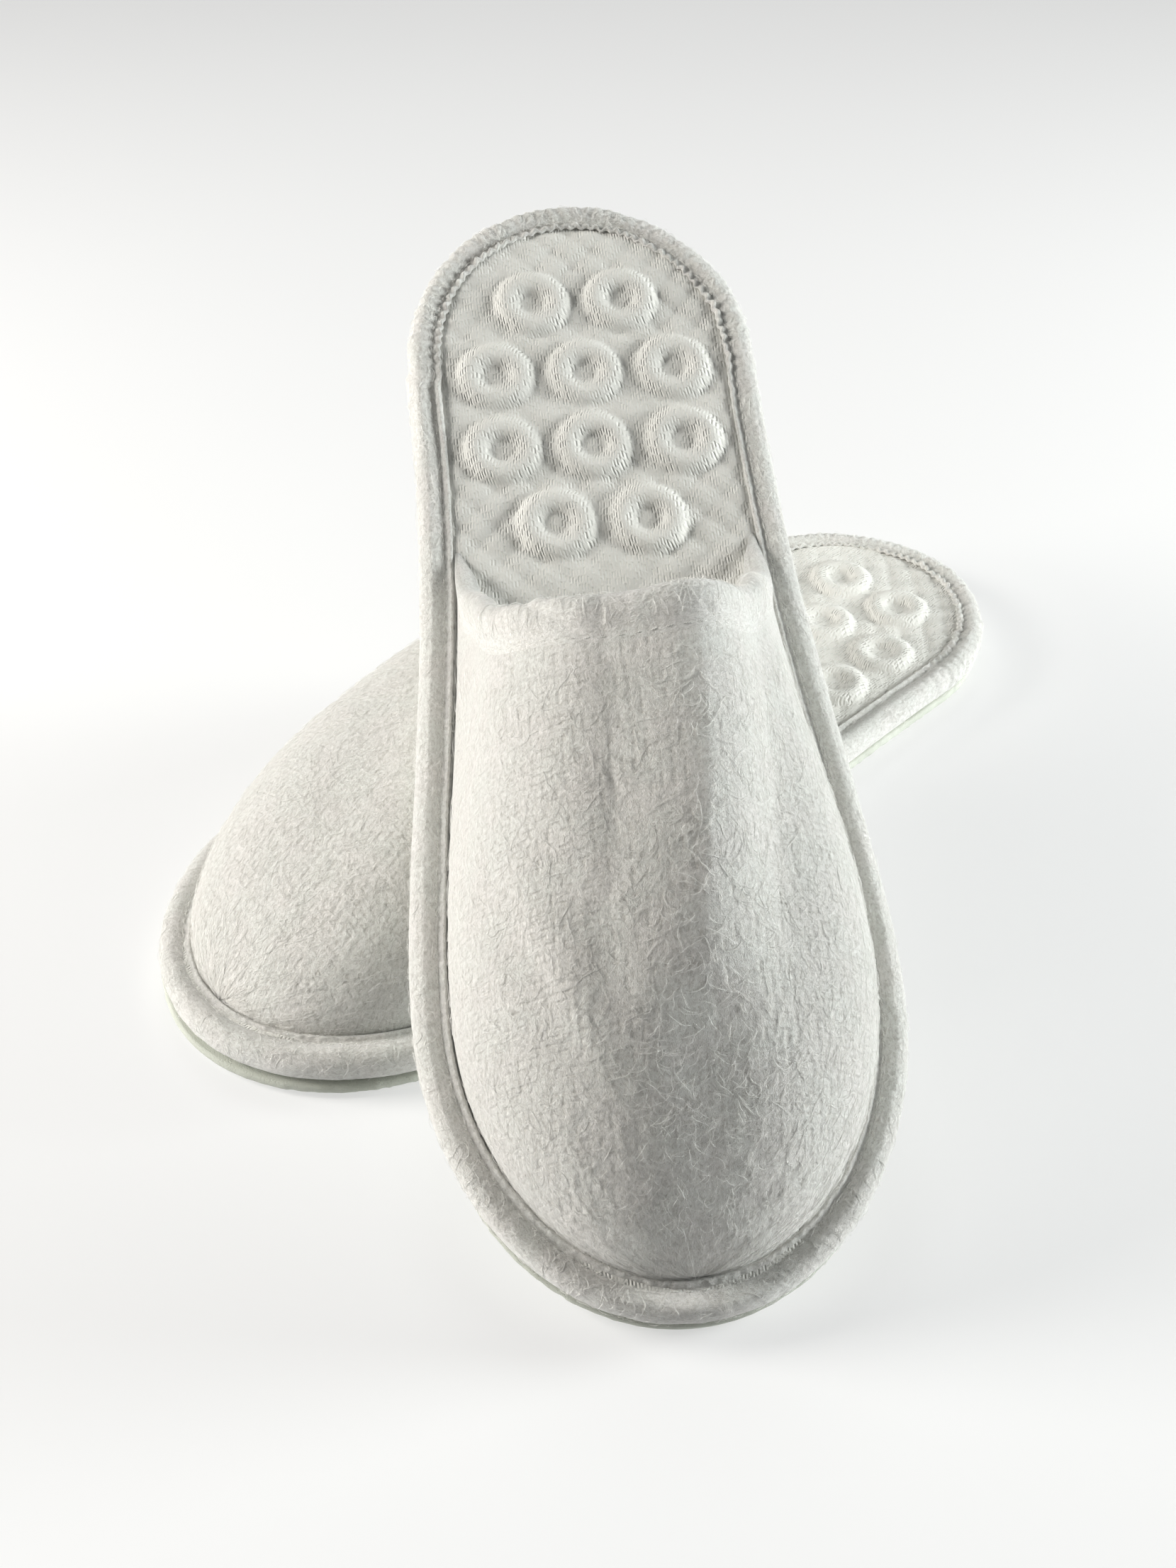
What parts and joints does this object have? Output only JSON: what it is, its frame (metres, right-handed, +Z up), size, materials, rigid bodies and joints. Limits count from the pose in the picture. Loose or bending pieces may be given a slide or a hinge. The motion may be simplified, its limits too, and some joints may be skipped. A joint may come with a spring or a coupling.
{
  "type": "spa slippers",
  "caption": "Pair of closed-toe fabric spa slippers with flexible soles, raised massage rings in the heels, one leaning across the other.",
  "frame": {"origin": "on the floor at the centre of the pair's bounding box", "axes": "+Z up; +Y from the leaning slipper's toe towards its heel, seen from above; +X to the right when the toe faces the viewer"},
  "size_m": [0.2444, 0.2808, 0.1377],
  "materials": {
    "nap": "brushed napped ribbed fabric, off-white",
    "insole": "fine ribbed knit, off-white",
    "foam": "soft wadding",
    "board": "foam sheet",
    "eva": "matt foamed sole sheet, pale grey-green",
    "thread": "spun thread, off-white"
  },
  "bodies": {
    "lower_front": {"lower_outsole_front": "eva", "lower_midsole_front": "board", "lower_insole_front": "insole", "lower_edge_binding_front": "nap", "lower_seam_thread_front": "thread", "lower_vamp_outer": "nap", "lower_vamp_foam": "foam", "lower_vamp_lining": "insole", "lower_opening_binding": "nap", "lower_opening_thread": "thread"},
    "lower_heel": {"lower_outsole_heel": "eva", "lower_midsole_heel": "board", "lower_insole_heel": "insole", "lower_edge_binding_heel": "nap", "lower_seam_thread_heel": "thread"},
    "upper_front": {"upper_outsole_front": "eva", "upper_midsole_front": "board", "upper_insole_front": "insole", "upper_edge_binding_front": "nap", "upper_seam_thread_front": "thread", "upper_vamp_outer": "nap", "upper_vamp_foam": "foam", "upper_vamp_lining": "insole", "upper_opening_binding": "nap", "upper_opening_thread": "thread"},
    "upper_heel": {"upper_outsole_heel": "eva", "upper_midsole_heel": "board", "upper_insole_heel": "insole", "upper_edge_binding_heel": "nap", "upper_seam_thread_heel": "thread"}
  },
  "joints": [
    {"name": "lower_sole_flex", "type": "hinge", "parent": "lower_front", "child": "lower_heel", "pos_m": [0.02862, 0.05887, 0.0132], "axis": [0.6057, -0.7957, 0], "range_deg": [0, 45], "stiffness_Nm_per_rad": 0.06},
    {"name": "upper_lift", "type": "slide", "parent": "lower_front", "child": "upper_front", "axis": [0, 0, 1], "range_m": [0, 0.2]},
    {"name": "upper_sole_flex", "type": "hinge", "parent": "upper_front", "child": "upper_heel", "pos_m": [-0.00531, 0.01706, 0.09107], "axis": [1, 0, 0], "range_deg": [0, 45], "stiffness_Nm_per_rad": 0.06}
  ]
}
